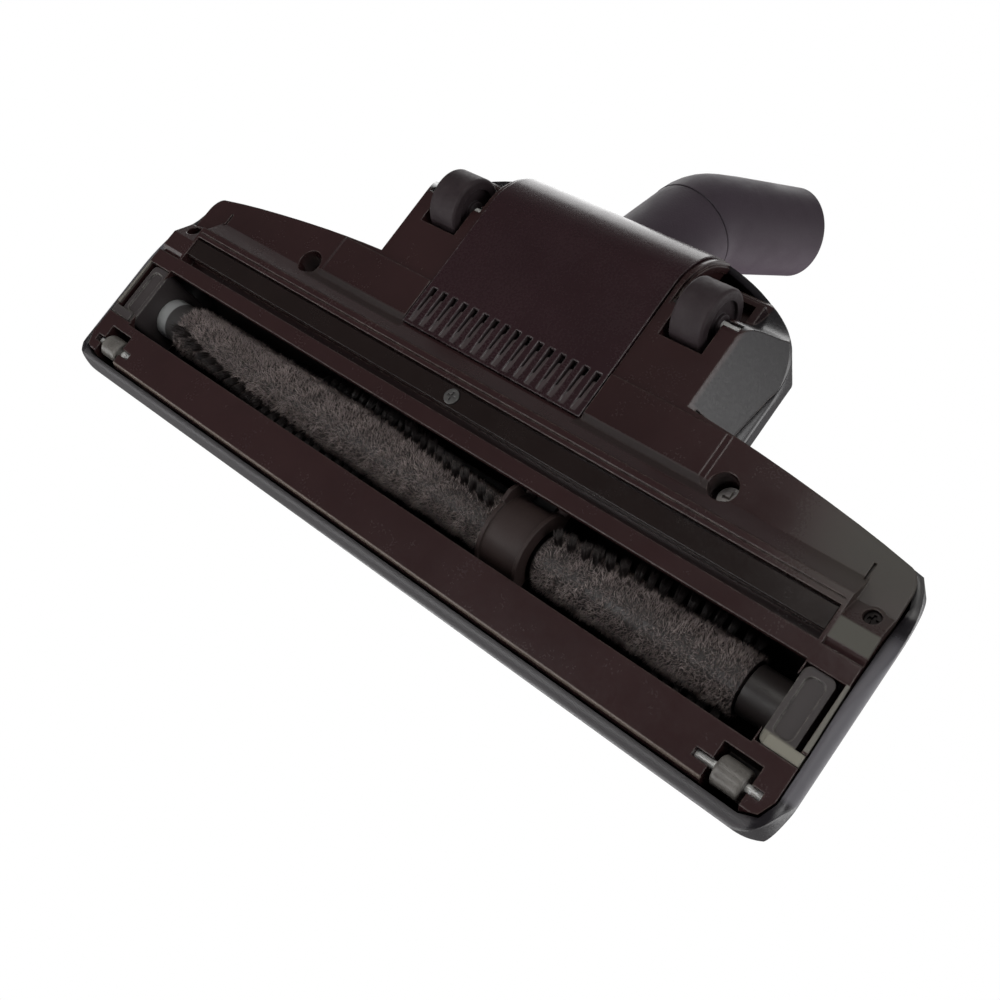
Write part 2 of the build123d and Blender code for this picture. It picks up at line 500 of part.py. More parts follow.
def bristle_rows(x0, x1, rows, twist, start):
    """Helical bristle rows round the core, as twisted strips."""
    out = []
    for i in range(rows):
        a = start + 360.0 * i / rows
        # section in the plane x = x0, a block between core and tip circle
        pl = Plane(origin=(x0, BRUSH_Y, BRUSH_Z), x_dir=(0, 1, 0), z_dir=(1, 0, 0))
        sec = Rot(0, 0, a) * (Pos((CORE_R + TIP_R) / 2, 0) * Rectangle(TIP_R - CORE_R + 6, 3.4))
        sec = (sec & Circle(TIP_R)) - Circle(CORE_R + 0.05)
        face = (pl * sec).faces()[0]
        out.append(Solid.extrude_linear_with_rotation(face, (x0, BRUSH_Y, BRUSH_Z), (x1 - x0, 0, 0), twist))
    return out


brush_bristles_long = bristle_rows(-34.5, 129.8, 2, 145.0, -71.0)
brush_bristles_short = bristle_rows(-129.8, -58.5, 2, -65.0, 2.0)


# ---------------------------------------------------------------- belt
def belt_face(r1, r2):
    """Two circles and the band between their outer tangents, in the YZ plane."""
    dy, dz = TURB_Y - BRUSH_Y, TURB_Z - BRUSH_Z
    d = math.hypot(dy, dz)
    a = math.atan2(dz, dy)
    b = math.acos((r1 - r2) / d)
    pts = []
    for cy, czz, r, s in ((BRUSH_Y, BRUSH_Z, r1, 1), (TURB_Y, TURB_Z, r2, 1), (TURB_Y, TURB_Z, r2, -1), (BRUSH_Y, BRUSH_Z, r1, -1)):
        pts.append((cy + r * math.cos(a + s * b), czz + r * math.sin(a + s * b)))
    body = poly_yz(pts, BELT_X0, BELT_X1)
    return body + cx(BELT_X0, BELT_X1, BRUSH_Y, BRUSH_Z, r1) + cx(BELT_X0, BELT_X1, TURB_Y, TURB_Z, r2)


drive_belt = belt_face(BRUSH_PULLEY_R + BELT_GAP + BELT_T, TURB_PULLEY_R + BELT_GAP + BELT_T) - belt_face(BRUSH_PULLEY_R + BELT_GAP, TURB_PULLEY_R + BELT_GAP)

# ---------------------------------------------------------------- turbine
turbine_shaft = cx(-53.0, 41.5, TURB_Y, TURB_Z, 2.5)
tw = cx(-33.0, 33.0, TURB_Y, TURB_Z, 5.5)
for xa in (-33.0, -0.7, 31.6):
    tw += cx(xa, xa + 1.4, TURB_Y, TURB_Z, TURB_R)
for i in range(BLADES):
    blade = Pos(0, TURB_Y, TURB_Z) * Rot(360.0 * i / BLADES, 0, 0) * bx(-32.5, 32.5, -0.6, 0.6, 4.5, TURB_R - 0.1)
    tw += blade
tw -= cx(-60, 60, TURB_Y, TURB_Z, 2.5)
turbine_wheel = tw
tp = cx(BELT_X0 - 0.6, BELT_X1 + 0.6, TURB_Y, TURB_Z, TURB_PULLEY_R) + cx(BELT_X0 - 1.8, BELT_X0 - 0.6, TURB_Y, TURB_Z, TURB_PULLEY_R + 1.5) + cx(BELT_X1 + 0.6, BELT_X1 + 1.8, TURB_Y, TURB_Z, TURB_PULLEY_R + 1.5)
tp -= cx(-60, 0, TURB_Y, TURB_Z, 2.5)
turbine_pulley = tp

sh = cx(-37.4, 37.4, TURB_Y, TURB_Z, SHROUD_R + 1.6) - cx(-35.4, 35.4, TURB_Y, TURB_Z, SHROUD_R)
sh += cx(35.0, 39.6, TURB_Y, TURB_Z, 8.6) + cx(-39.6, -35.0, TURB_Y, TURB_Z, 8.6)
sh -= cx(35.4, 40.0, TURB_Y, TURB_Z, 7.0) + cx(-40.0, -35.4, TURB_Y, TURB_Z, 7.0)
sh -= cx(-60, 60, TURB_Y, TURB_Z, 5.0)
sh -= bx(-20.0, 20.0, TURB_Y - 24, TURB_Y - 10, 27.5, 37.5)
sh -= bx(-22.0, 22.0, TURB_Y + 10, TURB_Y + 24, 28.0, 50.0)
turbine_shroud = sh

bear = cx(35.4, 39.4, TURB_Y, TURB_Z, 7.0) - cx(30, 45, TURB_Y, TURB_Z, 2.5 + RUN_FIT)
turbine_bearing_left = bear
turbine_bearing_right = mirror_x(bear)


def duct(y0, ax, az0, az1, y1, bxx, bz0, bz1):
    f0 = make_face(Polyline([(-ax, y0, az0), (ax, y0, az0), (ax, y0, az1), (-ax, y0, az1)], close=True))
    f1 = make_face(Polyline([(-bxx, y1, bz0), (bxx, y1, bz0), (bxx, y1, bz1), (-bxx, y1, bz1)], close=True))
    return loft([f0, f1])


air_nozzle = duct(-4.6, 24.0, 16.5, 30.5, 11.0, 20.0, 27.0, 38.0) - duct(-4.6, 22.4, 18.1, 28.9, 11.0, 18.4, 28.6, 36.4)

# ---------------------------------------------------------------- wheels, rollers, axles
wh = cx(WHEEL_X0, WHEEL_X1, WHEEL_Y, WHEEL_R, WHEEL_R)
wh = fillet(wh.edges().filter_by(GeomType.CIRCLE), 1.2)
for xa, xb in ((WHEEL_X0 - 1, WHEEL_X0 + 1.4), (WHEEL_X1 - 1.4, WHEEL_X1 + 1)):
    wh -= cx(xa, xb, WHEEL_Y, WHEEL_R, 8.4) - cx(xa, xb, WHEEL_Y, WHEEL_R, 3.6)
wh -= cx(40, 70, WHEEL_Y, WHEEL_R, REAR_PIN_R + RUN_FIT)
rear_wheel_left = wh
rear_wheel_right = mirror_x(wh)
rear_axle_left = cx(43.5, 68.7, WHEEL_Y, WHEEL_R, REAR_PIN_R)
rear_axle_right = mirror_x(rear_axle_left)

rl = cx(ROLL_X0, ROLL_X1, ROLL_Y, ROLL_R, ROLL_R)
rl = fillet(rl.edges().filter_by(GeomType.CIRCLE), 1.0)
rl -= cx(130, 160, ROLL_Y, ROLL_R, FRONT_PIN_R + RUN_FIT)
front_roller_left = rl
front_roller_right = mirror_x(rl)
front_axle_left = cx(133.3, 154.7, ROLL_Y, ROLL_R, FRONT_PIN_R)
front_axle_right = mirror_x(front_axle_left)

# ---------------------------------------------------------------- neck and elbow
f1 = Vector(0, c0, s0)
pivot = Vector(0, PIVOT_Y, PIVOT_Z)


def along(d, p0, s_from, s_to, r, r2=None):
    base = p0 + d * s_from
    pl = Plane(origin=base, z_dir=d)
    h = s_to - s_from
    if r2 is None:
        return pl * (Pos(0, 0, h / 2) * Cylinder(r, h))
    return pl * (Pos(0, 0, h / 2) * Cone(r, r2, h))


nk = cx(-BARREL_X, BARREL_X, PIVOT_Y, PIVOT_Z, BARREL_R)
nk += along(f1, pivot, 0.0, NECK_END, NECK_R)
nk += cx(-32.0, 32.0, PIVOT_Y, PIVOT_Z, TRUNNION_R)
nk -= along(f1, pivot, 30.0, 60.0, SLEEVE_R + RUN_FIT)
nk -= along(f1, pivot, -2.0, 31.0, DUCT_R)
# hollow barrel
nk -= cx(-BARREL_X + 2.4, BARREL_X - 2.4, PIVOT_Y, PIVOT_Z, BARREL_R - 2.4)
# the barrel opens forwards to the turbine
nk -= bx(-17.0, 17.0, PIVOT_Y - 30, PIVOT_Y, PIVOT_Z - 11.0, PIVOT_Z + 9.0)
# seat of the lock ring inside the neck's end
nk -= along(f1, pivot, 34.6, 36.6, SLEEVE_R + 1.5)
neck = nk

ed = Vector(*ELBOW_DIR).normalized()
corner = pivot + f1 * BEND_AT
turn = math.acos(max(-1.0, min(1.0, f1.dot(ed))))
tl = BEND_R * math.tan(turn / 2)
p_in = corner - f1 * tl
p_out = corner + ed * tl
axis_n = f1.cross(ed).normalized()
cen = p_in + axis_n.cross(f1).normalized() * BEND_R
mid = cen + (corner - cen).normalized() * BEND_R


def bend_solid(r):
    path = ThreePointArc(p_in, mid, p_out)
    return sweep(Plane(origin=p_in, z_dir=f1) * Circle(r), path=path)


leg0 = tl
outer = along(f1, pivot, NECK_END + 0.3, BEND_AT - tl, ELBOW_R0) if BEND_AT - tl > NECK_END + 0.35 else None
ob = bend_solid(ELBOW_R0)
eb = ob + along(ed, corner, leg0, leg0 + 10.0, ELBOW_R0) + along(ed, corner, leg0 + 10.0, ELBOW_LEG, ELBOW_R0, ELBOW_R1)
if outer is not None:
    eb = eb + outer
eb = eb + along(f1, pivot, 32.0, BEND_AT - tl, SLEEVE_R)
eb -= along(f1, pivot, 31.0, BEND_AT - tl, DUCT_R) + bend_solid(DUCT_R)
eb -= along(ed, corner, leg0 - 0.01, ELBOW_LEG - SOCKET_LEN + 0.01, DUCT_R)
eb -= along(ed, corner, ELBOW_LEG - SOCKET_LEN, ELBOW_LEG + 1.0, SOCKET_R)
# groove of the lock ring and of the seal on the sleeve
eb -= along(f1, pivot, 34.6, 36.6, SLEEVE_R + 1) - along(f1, pivot, 34.6, 36.6, SLEEVE_R - 1.0)
eb -= along(f1, pivot, 40.6, 42.4, SLEEVE_R + 1) - along(f1, pivot, 40.6, 42.4, SLEEVE_R - 1.1)
elbow = eb

neck_lock_ring = along(f1, pivot, 34.8, 36.4, SLEEVE_R + 1.1) - along(f1, pivot, 34.0, 37.0, SLEEVE_R - 0.95)
elbow_seal = along(f1, pivot, 40.7, 42.3, SLEEVE_R - 0.02) - along(f1, pivot, 40.0, 43.0, SLEEVE_R - 1.05)

# ---------------------------------------------------------------- write
nodes = {
    "lower_housing": lower_housing, "upper_housing": upper_housing, "turbine_cover": turbine_cover, "sole_strip": sole_strip,
    "strip_screw": strip_screw, "housing_screws": housing_screws, "end_screws": end_screws,
    "bearing_block_left": bearing_block_left, "bearing_block_right": bearing_block_right,
    "brush_bush_left": brush_bush_left, "brush_bush_right": brush_bush_right, "belt_guard": belt_guard,
    "brush_shaft": brush_shaft, "brush_core_long": brush_core_long, "brush_core_short": brush_core_short, "brush_pulley": brush_pulley,
    "brush_bristles_long": brush_bristles_long, "brush_bristles_short": brush_bristles_short, "drive_belt": drive_belt,
    "turbine_shaft": turbine_shaft, "turbine_wheel": turbine_wheel, "turbine_pulley": turbine_pulley, "turbine_shroud": turbine_shroud,
    "turbine_bearing_left": turbine_bearing_left, "turbine_bearing_right": turbine_bearing_right, "air_nozzle": air_nozzle,
    "rear_wheel_left": rear_wheel_left, "rear_wheel_right": rear_wheel_right, "rear_axle_left": rear_axle_left, "rear_axle_right": rear_axle_right,
    "front_roller_left": front_roller_left, "front_roller_right": front_roller_right, "front_axle_left": front_axle_left, "front_axle_right": front_axle_right,
    "neck": neck, "elbow": elbow, "neck_lock_ring": neck_lock_ring, "elbow_seal": elbow_seal,
}
lo, hi = [1e9] * 3, [-1e9] * 3
for name, shape in nodes.items():
    solids = []
    for s in shape if isinstance(shape, list) else [shape]:
        solids += list(s.solids())
    moved = [Pos(0, -Y_CENTRE, 0) * s for s in solids]
    for s in moved:
        b = s.bounding_box()
        for i, (p, q) in enumerate(zip(tuple(b.min), tuple(b.max))):
            lo[i], hi[i] = min(lo[i], p), max(hi[i], q)
    out = moved[0] if len(moved) == 1 else Compound(children=moved)
    export_step(out, f"parts/{name}.step")
    if len(moved) != 1:
        print(name, "solids", len(moved))
print("box", [round(v, 3) for v in lo], [round(v, 3) for v in hi], "middle y", round((lo[1] + hi[1]) / 2, 3))
m = corner + ed * ELBOW_LEG - Vector(0, Y_CENTRE, 0)
print("mouth", [round(v, 3) for v in tuple(m)], "elbow dir", [round(v, 6) for v in tuple(ed)], "bend", round(math.degrees(turn), 2))
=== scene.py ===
import math

import bpy
import numpy as np
from mathutils import Matrix, Vector


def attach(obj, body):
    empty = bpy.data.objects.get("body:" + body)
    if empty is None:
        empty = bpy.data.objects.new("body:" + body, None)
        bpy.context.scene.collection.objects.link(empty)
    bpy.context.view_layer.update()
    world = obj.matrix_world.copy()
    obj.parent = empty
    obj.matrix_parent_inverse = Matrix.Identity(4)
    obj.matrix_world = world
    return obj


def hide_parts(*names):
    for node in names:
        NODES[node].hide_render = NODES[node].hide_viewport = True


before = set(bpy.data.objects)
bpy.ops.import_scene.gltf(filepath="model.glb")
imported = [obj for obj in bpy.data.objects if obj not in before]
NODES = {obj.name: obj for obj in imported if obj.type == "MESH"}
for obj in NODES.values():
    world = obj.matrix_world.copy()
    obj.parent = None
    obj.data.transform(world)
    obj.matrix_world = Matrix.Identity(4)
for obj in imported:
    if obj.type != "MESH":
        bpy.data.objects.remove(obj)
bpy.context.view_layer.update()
SCENE = bpy.context.scene

Y_SHIFT = -0.053727      # working frame of the drawing to the row frame, along Y
BRUSH_Y = -0.02565 + Y_SHIFT
BRUSH_Z = 0.0175
CORE_R = 0.0090
TIP_R = 0.0166


# ------------------------------------------------------------------ node helpers
def start(name):
    m = bpy.data.materials.new(name)
    m.use_nodes = True
    nt = m.node_tree
    nt.nodes.clear()
    out = nt.nodes.new("ShaderNodeOutputMaterial")
    b = nt.nodes.new("ShaderNodeBsdfPrincipled")
    nt.links.new(b.outputs[0], out.inputs[0])
    return m, nt, b


def coords(nt, stretch=None):
    tc = nt.nodes.new("ShaderNodeTexCoord")
    if stretch is None:
        return tc.outputs["Object"]
    mp = nt.nodes.new("ShaderNodeMapping")
    mp.inputs["Scale"].default_value = stretch
    nt.links.new(tc.outputs["Object"], mp.inputs["Vector"])
    return mp.outputs["Vector"]


def noise(nt, vec, scale, detail=3.0, rough=0.55, distort=0.0):
    n = nt.nodes.new("ShaderNodeTexNoise")
    n.inputs["Scale"].default_value = scale
    n.inputs["Detail"].default_value = detail
    n.inputs["Roughness"].default_value = rough
    n.inputs["Distortion"].default_value = distort
    nt.links.new(vec, n.inputs["Vector"])
    return n.outputs["Fac"]


def cells(nt, vec, scale):
    v = nt.nodes.new("ShaderNodeTexVoronoi")
    v.feature = "SMOOTH_F1"
    v.inputs["Scale"].default_value = scale
    v.inputs["Smoothness"].default_value = 0.6
    nt.links.new(vec, v.inputs["Vector"])
    return v.outputs["Distance"]


def remap(nt, value, f0, f1, t0, t1):
    r = nt.nodes.new("ShaderNodeMapRange")
    r.interpolation_type = "SMOOTHSTEP"
    for key, v in (("From Min", f0), ("From Max", f1), ("To Min", t0), ("To Max", t1)):
        r.inputs[key].default_value = v
    nt.links.new(value, r.inputs["Value"])
    return r.outputs["Result"]


def ramp(nt, value, stops):
    r = nt.nodes.new("ShaderNodeValToRGB")
    el = r.color_ramp.elements
    while len(el) < len(stops):
        el.new(0.5)
    for e, (p, c) in zip(el, stops):
        e.position = p
        e.color = (*c, 1.0)
    nt.links.new(value, r.inputs["Fac"])
    return r.outputs["Color"]


def blend_colour(nt, fac, a, b):
    x = nt.nodes.new("ShaderNodeMix")
    x.data_type = "RGBA"
    nt.links.new(fac, x.inputs["Factor"])
    ia = [i for i in x.inputs if i.name == "A" and i.type == "RGBA"][0]
    ib = [i for i in x.inputs if i.name == "B" and i.type == "RGBA"][0]
    for sock, val in ((ia, a), (ib, b)):
        if isinstance(val, tuple):
            sock.default_value = (*val, 1.0)
        else:
            nt.links.new(val, sock)
    return [o for o in x.outputs if o.type == "RGBA"][0]


def blend_value(nt, fac, a, b):
    x = nt.nodes.new("ShaderNodeMix")
    x.data_type = "FLOAT"
    nt.links.new(fac, [i for i in x.inputs if i.name == "Factor" and i.type == "VALUE"][0])
    nt.links.new(a, [i for i in x.inputs if i.name == "A" and i.type == "VALUE"][0])
    [i for i in x.inputs if i.name == "B" and i.type == "VALUE"][0].default_value = b
    return [o for o in x.outputs if o.type == "VALUE"][0]


def math_node(nt, op, a, b):
    x = nt.nodes.new("ShaderNodeMath")
    x.operation = op
    for sock, val in ((x.inputs[0], a), (x.inputs[1], b)):
        if isinstance(val, (int, float)):
            sock.default_value = val
        else:
            nt.links.new(val, sock)
    return x.outputs[0]


def zone(nt, vec, x=None, y=None, z=None, soft=0.0004, right=False):
    """Mask of a box in the part's frame: x is the distance from the middle, on both sides or on the right side (-X) only. Millimetres, y in the drawing's frame."""
    sep = nt.nodes.new("ShaderNodeSeparateXYZ")
    nt.links.new(vec, sep.inputs[0])
    mask = None
    for axis, span in (("X", x), ("Y", y), ("Z", z)):
        if span is None:
            continue
        value = sep.outputs[axis]
        if axis == "X":
            value = math_node(nt, "MULTIPLY", value, -1.0) if right else math_node(nt, "ABSOLUTE", value, 0.0)
        shift = Y_SHIFT if axis == "Y" else 0.0
        lo, hi = span[0] * 0.001 + shift, span[1] * 0.001 + shift
        m = math_node(nt, "MULTIPLY", remap(nt, value, lo - soft, lo + soft, 0.0, 1.0), remap(nt, value, hi - soft, hi + soft, 1.0, 0.0))
        mask = m if mask is None else math_node(nt, "MULTIPLY", mask, m)
    return mask


def rounded(nt, radius):
    """Normal with softened edges, and a mask that is 1 on those edges."""
    bev = nt.nodes.new("ShaderNodeBevel")
    bev.samples = 4
    bev.inputs["Radius"].default_value = radius
    geo = nt.nodes.new("ShaderNodeNewGeometry")
    dot = nt.nodes.new("ShaderNodeVectorMath")
    dot.operation = "DOT_PRODUCT"
    nt.links.new(bev.outputs["Normal"], dot.inputs[0])
    nt.links.new(geo.outputs["Normal"], dot.inputs[1])
    return bev.outputs["Normal"], remap(nt, dot.outputs["Value"], 0.985, 0.80, 0.0, 1.0)


def bump(nt, height, strength, distance, normal=None):
    b = nt.nodes.new("ShaderNodeBump")
    b.inputs["Strength"].default_value = strength
    b.inputs["Distance"].default_value = distance
    nt.links.new(height, b.inputs["Height"])
    if normal is not None:
        nt.links.new(normal, b.inputs["Normal"])
    return b.outputs["Normal"]


# ------------------------------------------------------------------ materials
def plastic(name, dark, light, rough, grain=1100.0, depth=0.00003, edge_wear_and_highlight_tone=None, edge_r=0.0006, spec=0.5, pebble=0.0, wear_and_highlight=0.5, coat=0.0, patch=26.0, zones=()):
    """Moulded plastic: cloudy tone, fine moulded grain, uneven gloss, edges worn a little smoother and paler by
    rubbing; that paler edge tone is also a painted highlight along the edges.
    """
    m, nt, b = start(name)
    vec = coords(nt)
    cloud = noise(nt, vec, patch, 5.0, 0.6)
    fine = noise(nt, vec, grain, 2.0, 0.5)
    base = ramp(nt, cloud, [(0.30, dark), (0.70, light)])
    masks = [(zone(nt, vec, **where), tone, gloss) for where, tone, gloss in zones]
    for mask, tone, gloss in masks:
        if tone is not None:
            base = blend_colour(nt, mask, base, tone)
    normal, edges = rounded(nt, edge_r)
    speck = noise(nt, vec, 420.0, 4.0, 0.7)
    # paler colour along every edge: partly worn plastic, partly a painted highlight along the edges
    rub_and_highlight = math_node(nt, "MULTIPLY", edges, remap(nt, speck, 0.38, 0.62, 0.15, 1.0))
    rub_and_highlight = math_node(nt, "MULTIPLY", rub_and_highlight, wear_and_highlight)
    rubbed_and_highlit_tone = edge_wear_and_highlight_tone or tuple(min(1.0, c * 2.2 + 0.012) for c in light)
    nt.links.new(blend_colour(nt, rub_and_highlight, base, rubbed_and_highlit_tone), b.inputs["Base Color"])
    rf = remap(nt, noise(nt, vec, patch * 3.1, 6.0, 0.62), 0.30, 0.70, rough[0], rough[1])
    for mask, tone, gloss in masks:
        if gloss is not None:
            rf = blend_value(nt, mask, rf, gloss)
    rf = math_node(nt, "SUBTRACT", rf, math_node(nt, "MULTIPLY", rub_and_highlight, 0.10))
    rf = math_node(nt, "ADD", rf, remap(nt, fine, 0.35, 0.65, -0.03, 0.03))
    nt.links.new(rf, b.inputs["Roughness"])
    h = fine
    if pebble:
        h = math_node(nt, "ADD", math_node(nt, "MULTIPLY", cells(nt, vec, pebble), 0.8), math_node(nt, "MULTIPLY", fine, 0.5))
    nt.links.new(bump(nt, h, 0.55, depth, normal), b.inputs["Normal"])
    b.inputs["Specular IOR Level"].default_value = spec
    if coat:
        b.inputs["Coat Weight"].default_value = coat
        b.inputs["Coat Roughness"].default_value = 0.10
    return m


def steel(name, tone=(0.78, 0.78, 0.76), rough=(0.16, 0.34), lines=(1.0, 1.0, 1.0), metal=1.0):
    """Bright drawn steel with fine turning lines and faint stains."""
    m, nt, b = start(name)
    vec = coords(nt)
    fine = noise(nt, coords(nt, lines), 2600.0, 3.0, 0.6)
    stain = noise(nt, vec, 240.0, 4.0, 0.6)
    nt.links.new(ramp(nt, stain, [(0.32, tuple(c * 0.72 for c in tone)), (0.62, tone)]), b.inputs["Base Color"])
    b.inputs["Metallic"].default_value = metal
    nt.links.new(remap(nt, fine, 0.3, 0.7, rough[0], rough[1]), b.inputs["Roughness"])
    normal, _ = rounded(nt, 0.00025)
    nt.links.new(bump(nt, fine, 0.35, 0.00002, normal), b.inputs["Normal"])
    return m


def strand(name, low, high, rough, sheen=0.0):
    """Bristle or nap fibre: the tone runs along each strand and differs from strand to strand."""
    m, nt, b = start(name)
    at = nt.nodes.new("ShaderNodeAttribute")
    at.attribute_name = "tone"
    spot = noise(nt, coords(nt), 120.0, 3.0, 0.6)
    fac = math_node(nt, "ADD", math_node(nt, "MULTIPLY", at.outputs["Fac"], 0.75), math_node(nt, "MULTIPLY", spot, 0.25))
    nt.links.new(ramp(nt, fac, [(0.12, low), (0.80, high)]), b.inputs["Base Color"])
    nt.links.new(remap(nt, fac, 0.1, 0.9, rough[0], rough[1]), b.inputs["Roughness"])
    b.inputs["Specular IOR Level"].default_value = 0.4
    return m


SOLE_ZONES = (
    # painted highlight: a pale line along the front bevel of the sole bar
    (dict(x=(-1.0, 150.0), y=(-55.5, -54.3), z=(-1.0, 2.2), soft=0.0003), (0.200, 0.158, 0.132), 0.30),
    # painted reflection: an olive-grey glare on the right wing only, fading in from 128 mm outwards
    (dict(x=(128.0, 190.0), y=(10.0, 60.0), z=(-20.0, 30.0), soft=0.016, right=True), (0.078, 0.071, 0.062), 0.50),
    (dict(x=(40.0, 92.0), y=(14.2, 19.0), z=(0.0, 12.0), soft=0.0006), (0.030, 0.0180, 0.0170), 0.62),
    # painted reflection: a pale patch at the right end of the sole, right side only
    (dict(x=(145.6, 170.0), y=(-4.1, 2.6), z=(0.0, 3.0), right=True), (0.100, 0.096, 0.080), 0.50),
    # painted highlight: a pale line along the outer rim edge at both ends
    (dict(x=(156.8, 158.4), y=(-33.6, -12.8), z=(0.0, 2.0), soft=0.0002), (0.200, 0.190, 0.165), 0.45),
    (dict(x=(66.0, 90.0), y=(38.2, 90.0), z=(8.6, 28.0), soft=0.0006), (0.0170, 0.0150, 0.0175), 0.30),
    # painted shade: the inside of the brush tunnel made near black
    (dict(x=(0.0, 146.0), y=(-46.0, -3.0), z=(10.5, 40.0), soft=0.0015), (0.0045, 0.0026, 0.0026), 0.50),
)
# the strong pale edges on the sole are partly worn plastic and partly painted highlight lines along its ridges
SOLE = plastic("sole_plastic_black_brown", (0.034, 0.0150, 0.0155), (0.043, 0.0194, 0.0200), (0.20, 0.26), 1200.0, 0.000014, (0.170, 0.132, 0.115), 0.0007, wear_and_highlight=0.9, zones=SOLE_ZONES)
# painted highlight: the paler tone inside the vent slots stands for their lit walls and louvre floors; the pale edges
# are partly worn plastic and partly painted highlight
COVER = plastic("belly_plastic_maroon_black", (0.029, 0.0120, 0.0150), (0.037, 0.0160, 0.0200), (0.23, 0.29), 1300.0, 0.000016, (0.250, 0.225, 0.225), 0.0007, wear_and_highlight=0.9, zones=((dict(x=(-1.0, 60.0), y=(18.0, 33.2), z=(6.74, 9.0), soft=0.00006), (0.095, 0.074, 0.076), 0.36),))
SHELL = plastic("shell_plastic_gloss_black", (0.0135, 0.0115, 0.0150), (0.0190, 0.0165, 0.0205), (0.15, 0.23), 1500.0, 0.000004, (0.060, 0.055, 0.062), 0.0024, wear_and_highlight=0.25, zones=(
    # painted reflection: light grey bands on the gloss black shell's end skirts
    (dict(x=(158.2, 175.0), y=(-47.0, 17.0), z=(-2.0, 7.0), soft=0.0012), (0.150, 0.144, 0.162), 0.44),
    # painted reflection: a grey band along the gloss black shell's front lip
    (dict(x=(-1.0, 156.0), y=(-66.0, -55.8), z=(-2.0, 6.5), soft=0.0012), (0.066, 0.062, 0.066), 0.36),
))
STRIP = plastic("strip_plastic_smooth", (0.0135, 0.0075, 0.0068), (0.0180, 0.0105, 0.0095), (0.20, 0.26), 1500.0, 0.000008, (0.060, 0.046, 0.042), 0.0005)
# painted reflection: a pale cream foot on the right bearing block only
BLOCK = plastic("block_plastic_grey", (0.052, 0.043, 0.044), (0.072, 0.061, 0.062), (0.42, 0.55), 1100.0, 0.000026, (0.300, 0.285, 0.250), 0.0009, wear_and_highlight=0.8, zones=((dict(x=(100.0, 175.0), y=(-39.0, -34.2), z=(0.0, 4.4), right=True), (0.300, 0.285, 0.235), 0.45),))
GUARD = plastic("guard_plastic_brown_black", (0.034, 0.021, 0.019), (0.048, 0.031, 0.029), (0.52, 0.62), 1100.0, 0.000022, (0.120, 0.098, 0.088), 0.0006, spec=0.35)
BUSH_CREAM = plastic("bush_plastic_cream", (0.320, 0.330, 0.330), (0.430, 0.440, 0.440), (0.35, 0.50), 1000.0, 0.000020, (0.660, 0.660, 0.640), 0.0004, wear_and_highlight=0.4, zones=((dict(x=(0.0, 139.4)), (0.060, 0.056, 0.056), 0.45),))
BUSH_DARK = plastic("bush_plastic_dark", (0.024, 0.019, 0.019), (0.038, 0.031, 0.030), (0.38, 0.50), 1000.0, 0.000020, None, 0.0004)
CORE = plastic("brush_core_plastic", (0.030, 0.025, 0.024), (0.046, 0.039, 0.037), (0.40, 0.55), 1000.0, 0.000020, None, 0.0005)
INNER = plastic("inner_plastic_plain", (0.024, 0.021, 0.021), (0.038, 0.034, 0.033), (0.42, 0.55), 1000.0, 0.000020, None, 0.0005)
WHEEL = plastic("wheel_plastic_scuffed", (0.030, 0.020, 0.023), (0.050, 0.037, 0.041), (0.52, 0.66), 900.0, 0.000040, (0.180, 0.170, 0.175), 0.0009, wear_and_highlight=0.7, patch=140.0, spec=0.30)
ELBOW = plastic("elbow_plastic_matte", (0.044, 0.030, 0.042), (0.058, 0.042, 0.057), (0.52, 0.64), 1900.0, 0.000060, (0.080, 0.074, 0.084), 0.0012, spec=0.42, pebble=1300.0, wear_and_highlight=0.35)
ROLLER = plastic("roller_plastic_scuffed", (0.135, 0.126, 0.116), (0.210, 0.198, 0.182), (0.24, 0.40), 900.0, 0.000040, (0.360, 0.350, 0.330), 0.0009, wear_and_highlight=0.9, patch=140.0)
SEAL = plastic("seal_rubber", (0.010, 0.010, 0.010), (0.018, 0.018, 0.018), (0.60, 0.75), 1500.0, 0.000030, None, 0.0004)
BELT = plastic("belt_rubber_ribbed", (0.012, 0.012, 0.012), (0.020, 0.020, 0.020), (0.60, 0.75), 1500.0, 0.000040, None, 0.0003)
BRASS = steel("bearing_brass", (0.62, 0.44, 0.20), (0.22, 0.38))
PIN = steel("pin_steel_bright", (1.0, 1.0, 0.98), (0.22, 0.36), (8.0, 1.0, 1.0), metal=0.10)
SCREW = steel("screw_steel", (0.24, 0.235, 0.23), (0.36, 0.52))
SCREW_DEEP = steel("screw_steel_deep", (0.80, 0.76, 0.74), (0.45, 0.60), metal=0.2)
SCREW_DARK = steel("screw_steel_dark", (0.035, 0.031, 0.031), (0.40, 0.55))
NAP = strand("brush_nap_grey_brown", (0.150, 0.114, 0.114), (0.78, 0.66, 0.63), (0.60, 0.75))
TUFT = strand("bristle_black_brown", (0.012, 0.009, 0.009), (0.075, 0.062, 0.060), (0.38, 0.55))

